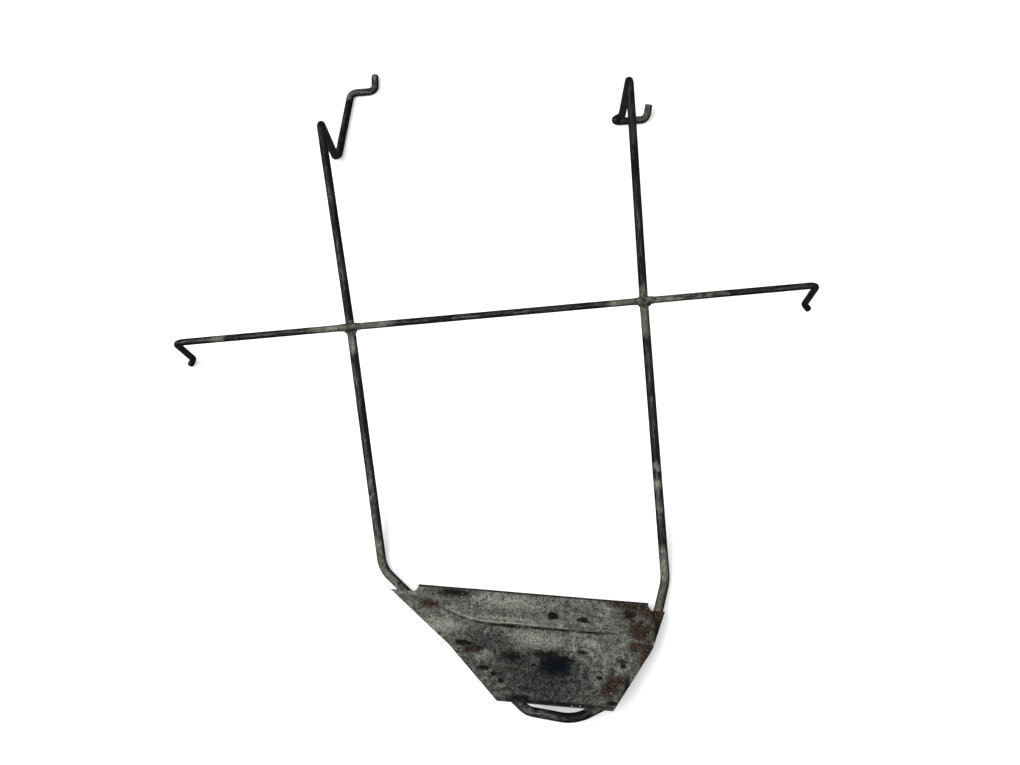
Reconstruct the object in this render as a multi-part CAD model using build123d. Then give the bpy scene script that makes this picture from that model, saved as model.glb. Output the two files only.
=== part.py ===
from build123d import *
import math
import os

# A wheel carrier bent from round bar: one long bar makes two uprights, a narrowed tail with a
# catch loop, and a hinge hook at the head of each upright. A thinner cross bar with turned-down
# ends is welded over the uprights, and a sheet plate is plug welded over the tail.
#
# Millimetres. The carrier lies on the ground as it rests when taken off its vehicle: hooks down,
# tail towards -Y, hooks towards +Y, +X along the cross bar, +Z up. The origin is on the ground
# under the middle of the whole carrier.

# ---- bar stock -------------------------------------------------------------------------------
ROD_D = 8.0
CROSS_ROD_D = 6.3
END_CHAMFER = 0.6

# ---- uprights --------------------------------------------------------------------------------
# Bend points of the bar's centre line, measured from the ground point under the cross bar's
# middle. The tail bends and the hooks lie on the ground, so they take their height from ROD_D.
LEFT_TAIL_BEND = (-115.0, -213.5)
RIGHT_TAIL_BEND = (128.0, -243.0)
LEFT_HEAD = (-156.0, 205.0)
RIGHT_HEAD = (144.2, 220.8)
LEFT_HEAD_HEIGHT = 113.5
RIGHT_HEAD_HEIGHT = 128.0
UPRIGHT_BOW = 1.5
TAIL_BEND_R = 26.0
HEAD_BEND_R = 11.0
BOW_R = 700.0

# ---- hinge hooks -----------------------------------------------------------------------------
# Each hook drops from its head to a heel just above the ground, and from there to its foot. A
# heel is measured from its foot: across, towards the hooks and up.
LEFT_HOOK_SLOPE = 53.8
LEFT_HOOK_LEAN = 2.0
LEFT_HEEL = (-3.0, -6.9, 5.8)
LEFT_HOOK_REACH = 86.7
LEFT_HOOK_SPLAY = 13.4
LEFT_PIN_LENGTH = 26.5
LEFT_TIP_LENGTH = 22.5
RIGHT_HOOK_SLOPE = 57.2
RIGHT_HOOK_LEAN = -6.4
RIGHT_HEEL = (10.6, -6.8, 16.0)
RIGHT_PIN_LENGTH = 38.7
RIGHT_TIP_REACH = 13.0
RIGHT_TIP_LIFT = 8.5
RIGHT_TIP_SPREAD = 3.6
HOOK_BEND_R = 8.0
RIGHT_HEEL_R = 14.0
RIGHT_FOOT_R = 6.0

# ---- tail and catch loop ---------------------------------------------------------------------
# The tail plane holds both tail bends and rises towards the loop. In it, `across` runs along
# the plate's edges from the left tail bend, and `down` runs from there towards the loop.
TAIL_RISE = 9.1
PLATE_TURN = 2.75
RIGHT_KNEE = (237.8, 27.6)
LOOP_LEFT = (137.5, 118.8)
LOOP_MIDDLE = (176.0, 122.6)
LOOP_RIGHT = (199.5, 107.3)
KNEE_R = 40.0
LOOP_CORNER_R = 16.0
LOOP_MIDDLE_R = 34.0

# ---- cross bar -------------------------------------------------------------------------------
LEFT_OVERHANG = 161.0
RIGHT_OVERHANG = 157.5
ARM_LENGTH = 53.0
ARM_LEAN = 2.0
TIP_OUT = 4.5
TIP_BACK = 4.0
TIP_DOWN = 5.0
ARM_BEND_R = 7.5
TIP_BEND_R = 5.0
WELD_SET_DOWN = 0.6

# ---- plate -----------------------------------------------------------------------------------
PLATE_T = 1.5
PLATE_TOP = 22.2
PLATE_BOTTOM = 114.6
LEFT_EAR = 11.0
RIGHT_EAR = 244.5
LEFT_SIDE_CORNER = (67.4, 68.7)
RIGHT_SIDE_CORNER = (235.6, 56.8)
BOTTOM_LEFT = 112.5
BOTTOM_RIGHT = 206.0
LIP_EDGE = 14.8
LIP_BEND_R = 3.0
LIP_DEPTH = 10.0
NOTCH_R = 3.0
BAND_STEP = 1.2
BAND_BOTTOM = 46.9
BAND_CORNER_R = 20.0
BAND_GAP = 9.0

# ---- welds -----------------------------------------------------------------------------------
PLUG_HOLE_D = 7.0
PLUG_CAP_D = 10.0
PLUG_CAP_RISE = 0.9
PLUG_ROOT = 1.2
LEFT_PLUG_ROWS = (33.0, 68.5, 90.0)
RIGHT_PLUG_ROWS = (41.5, 58.5, 76.0, 97.0)
CROSS_WELD_D = 13.0
CROSS_WELD_BELOW = 2.4
CROSS_WELD_ABOVE = 2.8

# ---- worked out from the values above --------------------------------------------------------
ROD_R = ROD_D / 2
CROSS_ROD_R = CROSS_ROD_D / 2
SHEET_UNDER = ROD_R
SHEET_FACE = SHEET_UNDER + PLATE_T
BAND_FACE = SHEET_FACE + BAND_STEP


def on_ground(point):
    """A bend point of the main bar that rests on the ground."""
    return Vector(point[0], point[1], ROD_R)


left_bend = on_ground(LEFT_TAIL_BEND)
right_bend = on_ground(RIGHT_TAIL_BEND)
left_head = Vector(*LEFT_HEAD, LEFT_HEAD_HEIGHT)
right_head = Vector(*RIGHT_HEAD, RIGHT_HEAD_HEIGHT)


def crossing_point(bend, head, inward):
    """Where the cross bar passes over an upright, which it pulls inwards by the bow."""
    share = -bend.Y / (head.Y - bend.Y)
    return bend + (head - bend) * share + Vector(inward * UPRIGHT_BOW, 0, 0)


left_crossing = crossing_point(left_bend, left_head, 1)
right_crossing = crossing_point(right_bend, right_head, -1)

# The uprights' own plane: across along the cross bar, normal up and towards the hooks.
cross_dir = (right_crossing - left_crossing).normalized()
upright_dir = (left_head + right_head - left_bend - right_bend).normalized()
frame_normal = cross_dir.cross(upright_dir).normalized()

# The tail plane, with x across and y back towards the hooks.
bend_line = (right_bend - left_bend).normalized()
tail_normal = Vector(0, 0, 1).rotate(Axis((0, 0, 0), bend_line), -TAIL_RISE)
plate_line = bend_line.rotate(Axis((0, 0, 0), tail_normal), -PLATE_TURN)
TAIL = Plane(origin=left_bend, x_dir=plate_line, z_dir=tail_normal)


def in_tail(point):
    """A centre-line point of the tail, from its place across and down the tail plane."""
    return TAIL.from_local_coords(Vector(point[0], -point[1], 0))


def tail_place(point):
    """The place across and down the tail plane of a point that lies in it."""
    local = TAIL.to_local_coords(point)
    return (local.X, -local.Y)


LEFT_LEG = ((0.0, 0.0), LOOP_LEFT)
RIGHT_LEG = (tail_place(right_bend), RIGHT_KNEE, LOOP_RIGHT)


def leg_run(leg, down):
    """The straight run of a tail leg that passes one distance down the tail."""
    runs = list(zip(leg, leg[1:]))
    for start, end in runs:
        if down <= end[1]:
            return start, end
    return runs[-1]


def leg_across(leg, down):
    """How far across a tail leg's centre line is at one distance down the tail."""
    (x0, y0), (x1, y1) = leg_run(leg, down)
    return x0 + (x1 - x0) * (down - y0) / (y1 - y0)


def leg_inset(leg, down, gap):
    """The distance across that leaves a gap, square to the leg, beside its centre line."""
    (x0, y0), (x1, y1) = leg_run(leg, down)
    return gap * math.hypot(x1 - x0, y1 - y0) / (y1 - y0)


def bent_bar(points, radii, diameter):
    """A round bar along straight runs joined by bends, with chamfered ends."""
    path = FilletPolyline(*points, radius=radii)
    section = Plane(origin=path @ 0, z_dir=path % 0) * Circle(diameter / 2)
    bar = sweep(section, path=path)
    ends = bar.faces().filter_by(GeomType.PLANE)
    return chamfer(ends.edges(), END_CHAMFER)


def left_hook_points():
    """From the free tip to the heel of the hook's drop: up to the foot it lies on the ground."""
    foot = on_ground((LEFT_HEAD[0] + LEFT_HOOK_LEAN, LEFT_HEAD[1] + LEFT_HOOK_SLOPE))
    pin_start = foot + Vector(LEFT_HOOK_SPLAY, LEFT_HOOK_REACH, 0)
    pin_end = pin_start + Vector(LEFT_PIN_LENGTH, 0, 0)
    tip = pin_end + Vector(0, LEFT_TIP_LENGTH, 0)
    return [tip, pin_end, pin_start, foot, foot + Vector(*LEFT_HEEL)]


def right_hook_points():
    """From the heel of the hook's drop to the free tip, which lifts off the ground."""
    foot = on_ground((RIGHT_HEAD[0] + RIGHT_HOOK_LEAN, RIGHT_HEAD[1] + RIGHT_HOOK_SLOPE))
    pin_end = foot + Vector(RIGHT_PIN_LENGTH, 0, 0)
    tip = pin_end + Vector(RIGHT_TIP_SPREAD, RIGHT_TIP_REACH, RIGHT_TIP_LIFT)
    return [foot + Vector(*RIGHT_HEEL), foot, pin_end, tip]


def make_main_rod():
    """The one long bar, from the left hook's tip round the tail to the right hook's tip."""
    left_side = [*left_hook_points(), left_head, left_crossing, left_bend]
    loop = [in_tail(p) for p in (LOOP_LEFT, LOOP_MIDDLE, LOOP_RIGHT, RIGHT_KNEE)]
    right_side = [right_bend, right_crossing, right_head, *right_hook_points()]
    left_radii = [HOOK_BEND_R] * 4 + [HEAD_BEND_R, BOW_R, TAIL_BEND_R]
    loop_radii = [LOOP_CORNER_R, LOOP_MIDDLE_R, LOOP_CORNER_R, KNEE_R]
    right_radii = [TAIL_BEND_R, BOW_R, HEAD_BEND_R, RIGHT_HEEL_R, RIGHT_FOOT_R, HOOK_BEND_R]
    return bent_bar(left_side + loop + right_side, left_radii + loop_radii + right_radii, ROD_D)


def cross_bar_points():
    """The cross bar's bend points: it lies over the uprights and its ends turn down."""
    lift = frame_normal * (ROD_R + CROSS_ROD_R - WELD_SET_DOWN)
    left_end = left_crossing - cross_dir * LEFT_OVERHANG + lift
    right_end = right_crossing + cross_dir * RIGHT_OVERHANG + lift
    drop = frame_normal * -ARM_LENGTH
    left_foot = left_end + drop + cross_dir * ARM_LEAN
    right_foot = right_end + drop - cross_dir * ARM_LEAN
    curl = frame_normal.cross(cross_dir) * -TIP_BACK - frame_normal * TIP_DOWN
    left_tip = left_foot - cross_dir * TIP_OUT + curl
    right_tip = right_foot + cross_dir * TIP_OUT + curl
    return [left_tip, left_foot, left_end, right_end, right_foot, right_tip]


def make_cross_rod(main_rod):
    """The cross bar, melted slightly into both uprights where it is welded."""
    radii = [TIP_BEND_R, ARM_BEND_R, ARM_BEND_R, TIP_BEND_R]
    bar = bent_bar(cross_bar_points(), radii, CROSS_ROD_D)
    return bar - main_rod


def make_cross_weld(crossing, main_rod, cross_rod):
    """Weld metal in the four corners of one crossing."""
    seat = crossing + frame_normal * ROD_R
    base = Plane(origin=seat - frame_normal * CROSS_WELD_BELOW, z_dir=frame_normal)
    blob = extrude(base * Circle(CROSS_WELD_D / 2), CROSS_WELD_BELOW + CROSS_WELD_ABOVE)
    return blob - main_rod - cross_rod


def band_sides(down, inset=0):
    """Where the band between the legs starts and stops across, at one distance down."""
    left = leg_across(LEFT_LEG, down) + leg_inset(LEFT_LEG, down, BAND_GAP + inset)
    right = leg_across(RIGHT_LEG, down) - leg_inset(RIGHT_LEG, down, BAND_GAP + inset)
    return left, right


def sheet_outline():
    """The plate's flat outline, up to the fold of its lip."""
    fold = LIP_EDGE + LIP_BEND_R
    left, right = band_sides(fold)
    corners = [
        (LEFT_EAR, PLATE_TOP),
        LEFT_SIDE_CORNER,
        (BOTTOM_LEFT, PLATE_BOTTOM),
        (BOTTOM_RIGHT, PLATE_BOTTOM),
        RIGHT_SIDE_CORNER,
        (RIGHT_EAR, PLATE_TOP),
        (right, PLATE_TOP),
        (right, fold),
        (left, fold),
        (left, PLATE_TOP),
    ]
    face = make_face(Polyline(*[(x, -y) for x, y in corners], close=True))
    notches = [v for v in face.vertices() if abs(v.Y + PLATE_TOP) < 0.01]
    inner = sorted(notches, key=lambda v: v.X)[1:3]
    return fillet(inner, NOTCH_R)


def band_outline(inset):
    """The raised band between the legs, drawn a little smaller by the inset."""
    top = LIP_EDGE
    bottom = BAND_BOTTOM - inset
    top_left, top_right = band_sides(top, inset)
    bottom_left, bottom_right = band_sides(bottom, inset)
    corners = [
        (top_left, top),
        (bottom_left, bottom),
        (bottom_right, bottom),
        (top_right, top),
    ]
    face = make_face(Polyline(*[(x, -y) for x, y in corners], close=True))
    lower = [v for v in face.vertices() if abs(v.Y + bottom) < 0.01]
    return fillet(lower, BAND_CORNER_R - inset)


def band_block(height, inset):
    """The band's outline pulled up from the sheet's underside, its sides sloping in."""
    lower = Pos(0, 0, SHEET_UNDER) * band_outline(inset)
    upper = Pos(0, 0, SHEET_UNDER + height) * band_outline(inset + BAND_STEP)
    return loft([lower.face(), upper.face()], ruled=True)


def make_band():
    """The raised band's solid and the hollow under it, both cut off at the lip's fold."""
    fold = LIP_EDGE + LIP_BEND_R
    keep = Pos(0, -fold, 0) * Box(600, 400, 60, align=(Align.CENTER, Align.MAX, Align.CENTER))
    foot = extrude(Pos(0, 0, SHEET_UNDER) * band_outline(0), PLATE_T)
    cap = Pos(0, 0, PLATE_T) * band_block(BAND_STEP, 0)
    wall = PLATE_T * (math.sqrt(2) - 1)
    hollow = band_block(BAND_STEP, wall)
    return (foot + cap) & keep, hollow & keep


def make_lip():
    """The lip folded down along the plate's head edge, for stiffness."""
    left, right = band_sides(LIP_EDGE + LIP_BEND_R)
    centre = (-LIP_EDGE - LIP_BEND_R, BAND_FACE - LIP_BEND_R)
    inner_r = LIP_BEND_R - PLATE_T
    hem = BAND_FACE - LIP_DEPTH
    outer_arc = CenterArc(centre, LIP_BEND_R, 0, 90)
    inner_arc = CenterArc(centre, inner_r, 0, 90)
    outer_drop = Line(outer_arc @ 0, (-LIP_EDGE, hem))
    hem_line = Line((-LIP_EDGE, hem), (-LIP_EDGE - PLATE_T, hem))
    inner_drop = Line((-LIP_EDGE - PLATE_T, hem), inner_arc @ 0)
    fold_line = Line(inner_arc @ 1, outer_arc @ 1)
    profile = make_face([outer_arc, outer_drop, hem_line, inner_drop, inner_arc, fold_line])
    side = Plane(origin=(left, 0, 0), x_dir=(0, 1, 0), z_dir=(1, 0, 0))
    return extrude(side * profile, right - left)


def plug_places():
    """The plug welds' places across and down the tail, left leg's first, right leg's second."""
    left = [(leg_across(LEFT_LEG, row), row) for row in LEFT_PLUG_ROWS]
    right = [(leg_across(RIGHT_LEG, row), row) for row in RIGHT_PLUG_ROWS]
    return left, right


def make_plate():
    """The plate: a flat sheet with a raised band, a folded lip and the plug weld holes."""
    band, hollow = make_band()
    sheet = extrude(Pos(0, 0, SHEET_UNDER) * sheet_outline(), PLATE_T)
    plate = sheet + band - hollow + make_lip()
    left, right = plug_places()
    for x, y in left + right:
        plate -= Pos(x, -y, SHEET_FACE) * Cylinder(PLUG_HOLE_D / 2, 4 * PLATE_T)
    return TAIL.location * plate


def make_plug_welds(places, main_rod):
    """Weld buttons through the plate's holes, one solid each, grown onto the leg below."""
    plugs = []
    for x, y in places:
        root = Cylinder(
            PLUG_HOLE_D / 2,
            PLATE_T + PLUG_ROOT,
            align=(Align.CENTER, Align.CENTER, Align.MAX),
        )
        cap = Cone(
            PLUG_CAP_D / 2,
            PLUG_CAP_D / 2 - PLUG_CAP_RISE,
            PLUG_CAP_RISE,
            align=(Align.CENTER, Align.CENTER, Align.MIN),
        )
        plug = TAIL.location * Pos(x, -y, SHEET_FACE) * (root + cap)
        plugs.append(plug - main_rod)
    return Compound(children=plugs)


def build():
    """Every node of the carrier by name, moved so that its box is centred on the origin."""
    main_rod = make_main_rod()
    cross_rod = make_cross_rod(main_rod)
    left_plugs, right_plugs = plug_places()
    nodes = {
        "main_rod": main_rod,
        "cross_rod": cross_rod,
        "plate": make_plate(),
        "left_cross_weld": make_cross_weld(left_crossing, main_rod, cross_rod),
        "right_cross_weld": make_cross_weld(right_crossing, main_rod, cross_rod),
        "left_plug_welds": make_plug_welds(left_plugs, main_rod),
        "right_plug_welds": make_plug_welds(right_plugs, main_rod),
    }
    box = Compound(children=[Compound(n.solids()) for n in nodes.values()]).bounding_box()
    centring = Pos(-box.center().X, -box.center().Y, 0)
    return {name: centring * Compound(n.solids()) for name, n in nodes.items()}


os.makedirs("parts", exist_ok=True)
for node_name, node in build().items():
    export_step(node, f"parts/{node_name}.step")
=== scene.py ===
"""Looks of a bent-bar wheel carrier: bars, sheet plate, weld metal and their worn paint."""

import math

import bmesh
import bpy
from bpy.props import FloatProperty, FloatVectorProperty, PointerProperty
from mathutils import Matrix, Vector, noise


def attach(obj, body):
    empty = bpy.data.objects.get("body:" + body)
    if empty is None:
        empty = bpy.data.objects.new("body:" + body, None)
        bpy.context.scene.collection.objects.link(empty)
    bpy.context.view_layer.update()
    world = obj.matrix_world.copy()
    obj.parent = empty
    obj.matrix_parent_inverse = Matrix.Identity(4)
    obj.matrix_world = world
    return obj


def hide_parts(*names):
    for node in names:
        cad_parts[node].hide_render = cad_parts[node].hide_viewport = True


bl_info = {
    "name": "Bent-bar wheel carrier",
    "version": (1, 0, 0),
    "blender": (4, 5, 0),
    "location": "3D View > Sidebar > Carrier",
    "description": "Builds the worn bars, plate and welds of a wheel carrier around its CAD frame",
    "category": "Object",
}

MM = 0.001

END_CHAMFER = 0.6 * MM  # rounding of the bars' cut ends
BAND_SLOPE = 1.9 * MM  # width of the pressed slope round the band
BAND_ROWS = 5  # rows of faces from the ears to the fold
FOLD_STEPS = 7  # steps of the lip's quarter turn
LIP_ROWS = 6  # rows of faces down the lip
RIM_CHAMFER = 0.3 * MM  # rounding of the sheet's cut edges
FLOW_ROUNDS = 9  # how often a crossing weld is smoothed
FLOOR_HALF = 8  # half the floor's side, in metres
FLOOR_GAP = 0.3 * MM  # clearance between the floor and the carrier
LIT_AND_WORN_SIDE = (-0.3, -0.42, 0.85)  # the way that the lit, dusty and rubbed side of a bar faces: dust and a painted highlight lie along it, and painted shade darkens bare scuffs away from it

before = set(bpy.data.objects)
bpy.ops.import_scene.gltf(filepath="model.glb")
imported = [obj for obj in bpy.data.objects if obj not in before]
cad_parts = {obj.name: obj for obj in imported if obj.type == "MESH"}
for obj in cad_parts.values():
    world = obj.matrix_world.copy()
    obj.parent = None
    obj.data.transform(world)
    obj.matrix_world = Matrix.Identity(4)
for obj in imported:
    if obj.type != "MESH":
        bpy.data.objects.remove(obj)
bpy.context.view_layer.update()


# ---- settings --------------------------------------------------------------------------------


def place(name, text, default):
    """A named place or step in space, in metres."""
    return FloatVectorProperty(
        name=name, description=text, default=default, subtype="XYZ", unit="LENGTH", precision=4
    )


def size(name, text, default):
    """A named length in metres."""
    return FloatProperty(name=name, description=text, default=default, unit="LENGTH", precision=4)


def angle(name, text, degrees):
    """A named angle."""
    return FloatProperty(name=name, description=text, default=math.radians(degrees), unit="ROTATION")


def power(name, text, watts):
    """A named power of a light."""
    return FloatProperty(name=name, description=text, default=watts, unit="POWER")


def tint(name, text, default):
    """A named colour."""
    return FloatVectorProperty(name=name, description=text, default=default, subtype="COLOR", min=0, max=1)


class MainBarSettings(bpy.types.PropertyGroup):
    """The long bar's bend points, measured from the ground under the cross bar's middle."""

    middle: place("Middle", "Ground point under the cross bar's middle", (-0.00018, -0.001818, 0))
    diameter: size("Diameter", "Diameter of the long bar", 0.008)
    left_bend: place("Left tail bend", "Where the left upright meets the tail", (-0.115, -0.2135, 0.004))
    right_bend: place("Right tail bend", "Where the right upright meets the tail", (0.128, -0.243, 0.004))
    left_head: place("Left head", "Top of the left upright", (-0.156, 0.205, 0.1135))
    right_head: place("Right head", "Top of the right upright", (0.1442, 0.2208, 0.128))
    bow: size("Bow", "How far the cross bar pulls each upright inwards", 0.0015)
    tail_bend_radius: size("Tail bend radius", "Radius of both tail bends", 0.026)
    head_bend_radius: size("Head bend radius", "Radius of the bends at the heads", 0.011)
    bow_radius: size("Bow radius", "Radius of the slight bend at the crossings", 0.7)
    hook_bend_radius: size("Hook bend radius", "Radius of the hooks' small bends", 0.008)
    left_drop: place("Left drop", "From the left head to the heel of its hook", (-0.001, 0.0469, -0.1037))
    left_heel: place("Left heel", "From that heel to the hook's foot", (0.003, 0.0069, -0.0058))
    left_reach: place("Left reach", "From the foot to the hinge pin", (0.0134, 0.0867, 0))
    left_pin: place("Left pin", "Along the left hinge pin", (0.0265, 0, 0))
    left_tip: place("Left tip", "From the left pin to the free end", (0, 0.0225, 0))
    right_drop: place("Right drop", "From the right head to the heel of its hook", (0.0042, 0.0504, -0.108))
    right_heel: place("Right heel", "From that heel to the hook's foot", (-0.0106, 0.0068, -0.016))
    right_pin: place("Right pin", "Along the right hinge pin", (0.0387, 0, 0))
    right_tip: place("Right tip", "From the right pin to the free end", (0.0036, 0.013, 0.0085))
    right_heel_radius: size("Right heel radius", "Radius of the bend at the right heel", 0.014)
    right_foot_radius: size("Right foot radius", "Radius of the bend at the right foot", 0.006)


class TailSettings(bpy.types.PropertyGroup):
    """The tail's plane and its loop, across and down from the left tail bend."""

    rise: angle("Rise", "Slope of the tail's plane towards the loop", 9.1)
    turn: angle("Turn", "Turn of the plate's edges from the line of the tail bends", 2.75)
    right_knee: place("Right knee", "Slight bend of the right leg under the plate", (0.2378, 0.0276, 0))
    loop_left: place("Loop left", "Left corner of the loop", (0.1375, 0.1188, 0))
    loop_middle: place("Loop middle", "Lowest point of the loop", (0.176, 0.1226, 0))
    loop_right: place("Loop right", "Right corner of the loop", (0.1995, 0.1073, 0))
    knee_radius: size("Knee radius", "Radius of the knee", 0.04)
    corner_radius: size("Corner radius", "Radius of the loop's corners", 0.016)
    middle_radius: size("Middle radius", "Radius at the loop's lowest point", 0.034)


class CrossBarSettings(bpy.types.PropertyGroup):
    """The thinner bar over the uprights."""

    diameter: size("Diameter", "Diameter of the cross bar", 0.0063)
    left_overhang: size("Left overhang", "From the left crossing to the arm", 0.161)
    right_overhang: size("Right overhang", "From the right crossing to the arm", 0.1575)
    arm: size("Arm", "Length of the turned-down arms", 0.053)
    lean: size("Lean", "How far the arms lean inwards", 0.002)
    tip_out: size("Tip out", "How far the arms' tips turn outwards", 0.0045)
    tip_back: size("Tip back", "How far the tips turn towards the tail", 0.004)
    tip_down: size("Tip down", "How far the tips still go down", 0.005)
    arm_radius: size("Arm radius", "Radius of the bends into the arms", 0.0075)
    tip_radius: size("Tip radius", "Radius of the bends into the tips", 0.005)
    set_down: size("Set down", "How far the cross bar is melted into the uprights", 0.0006)


class PlateSettings(bpy.types.PropertyGroup):
    """The sheet plate, across and down the tail's plane."""

    thickness: size("Thickness", "Sheet thickness", 0.0015)
    top: size("Top", "Head edge of the ears", 0.0222)
    bottom: size("Bottom", "Loop edge", 0.1146)
    left_ear: size("Left ear", "Tip of the left ear", 0.011)
    right_ear: size("Right ear", "Tip of the right ear", 0.2445)
    left_corner: place("Left corner", "Slight corner of the left side", (0.0674, 0.0687, 0))
    right_corner: place("Right corner", "Slight corner of the right side", (0.2356, 0.0568, 0))
    bottom_left: size("Bottom left", "Left end of the loop edge", 0.1125)
    bottom_right: size("Bottom right", "Right end of the loop edge", 0.206)
    lip_edge: size("Lip edge", "Outer face of the folded lip", 0.0148)
    lip_radius: size("Lip radius", "Outer radius of the lip's fold", 0.003)
    lip_depth: size("Lip depth", "Depth of the lip", 0.010)
    notch_radius: size("Notch radius", "Rounding of the notches beside the lip", 0.003)
    band_step: size("Band step", "How far the band stands up", 0.0012)
    band_bottom: size("Band bottom", "Lower edge of the band", 0.0469)
    band_radius: size("Band radius", "Rounding of the band's lower corners", 0.020)
    band_gap: size("Band gap", "From a leg's middle to the band", 0.009)
    cell: size("Cell", "Size of the mesh's cells", 0.00115)


class WeldSettings(bpy.types.PropertyGroup):
    """Weld metal at the crossings and through the plate."""

    web: size("Web", "Size of the web in each corner of a crossing", 0.0019)
    skin: size("Skin", "How far the weld stands off the bars", 0.0004)
    spread: size("Spread", "How far the weld runs along the bars", 0.0115)
    button: size("Button", "Diameter of a plug weld", 0.0112)
    rise: size("Rise", "Height of a plug weld", 0.0011)
    voxel: size("Voxel", "Fineness of the weld's mesh", 0.00042)


class FinishSettings(bpy.types.PropertyGroup):
    """Colours of the paint, the bare steel, the rust and the dirt, some of which also carry painted highlight
    and painted shade.
    """

    bar_black: tint("Bar black", "Paint on the bars", (0.003, 0.0034, 0.0038))
    bar_haze: tint("Bar haze", "Dulled paint on the bars", (0.014, 0.0155, 0.016))
    # dust on the bars' tops, which also serves as a painted highlight along their lit side
    bar_dust_and_sheen: tint("Bar dust", "Dust rubbed into the top of the bars", (0.13, 0.135, 0.132))
    bare_grey: tint("Bare grey", "Scuffed bar and primer", (0.09, 0.088, 0.074))
    bare_shade: tint("Bare shade", "Dirt in the scuffed bar", (0.035, 0.034, 0.028))
    bare_light: tint("Bare light", "Lightest scuffs", (0.24, 0.235, 0.205))
    chip: tint("Chip", "Small pale chips", (0.42, 0.42, 0.39))
    sheet_grey: tint("Sheet grey", "Worn paint on the plate", (0.096, 0.098, 0.086))
    # scuffed lighter patches; also the painted highlight along the band's ridge and round one weld button
    sheet_light: tint("Sheet light", "Scuffed lighter patches on the plate", (0.265, 0.265, 0.232))
    # grime on the plate; also the painted shade along the band's crease and the lip's fold
    sheet_dark: tint("Sheet dark", "Grime on the plate", (0.0042, 0.0042, 0.0036))
    stain: tint("Stain", "Blue-black stain on the plate", (0.0012, 0.0022, 0.0046))
    rust: tint("Rust", "Rust", (0.05, 0.0255, 0.0135))
    rust_dark: tint("Dark rust", "Old dark rust", (0.008, 0.005, 0.0034))
    weld: tint("Weld", "Weld metal", (0.1, 0.1, 0.08))


class StageSettings(bpy.types.PropertyGroup):
    """Floor, lights and camera."""

    camera_place: place("Camera place", "Where the camera stands", (-0.0071, -0.6244, 1.0105))
    camera_target: place("Camera target", "Floor point that the camera looks at", (0.0085, -0.0348, 0))
    roll: angle("Roll", "Roll of the camera", -2.8)
    lens: FloatProperty(name="Lens", description="Focal length in millimetres", default=43.57, unit="CAMERA")
    centring: FloatProperty(name="Centring", description="Lens shift as a share of the width", default=0.0005)
    floor_tone: tint("Floor tone", "Colour of the floor as the camera sees it", (0.93, 0.93, 0.93))
    floor_dim: tint("Floor dim", "Colour of the floor as it lights the carrier", (0.16, 0.16, 0.16))
    key_power: power("Key power", "Power of the main light", 60.0)
    fill_power: power("Fill power", "Power of the fill light", 9.0)
    sky: FloatProperty(name="Sky", description="Strength of the surrounding light", default=0.4)


# ---- the carrier's shape ---------------------------------------------------------------------


def crossing_point(bend, head, inward, bow):
    """Where the cross bar passes over an upright."""
    share = -bend.y / (head.y - bend.y)
    return bend + (head - bend) * share + Vector((inward * bow, 0, 0))


def tail_matrix(left_bend, right_bend, tail):
    """Places the tail's plane: x across, y back to the hooks, z out of the plate's face."""
    bend_line = (right_bend - left_bend).normalized()
    normal = Matrix.Rotation(-tail.rise, 3, bend_line) @ Vector((0, 0, 1))
    across = Matrix.Rotation(-tail.turn, 3, normal) @ bend_line
    back = normal.cross(across)
    turn = Matrix((across, back, normal)).transposed().to_4x4()
    return Matrix.Translation(left_bend) @ turn


def down(point):
    """Turns an across-and-down place into the tail plane's own x and y."""
    return Vector((point[0], -point[1], 0))


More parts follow.
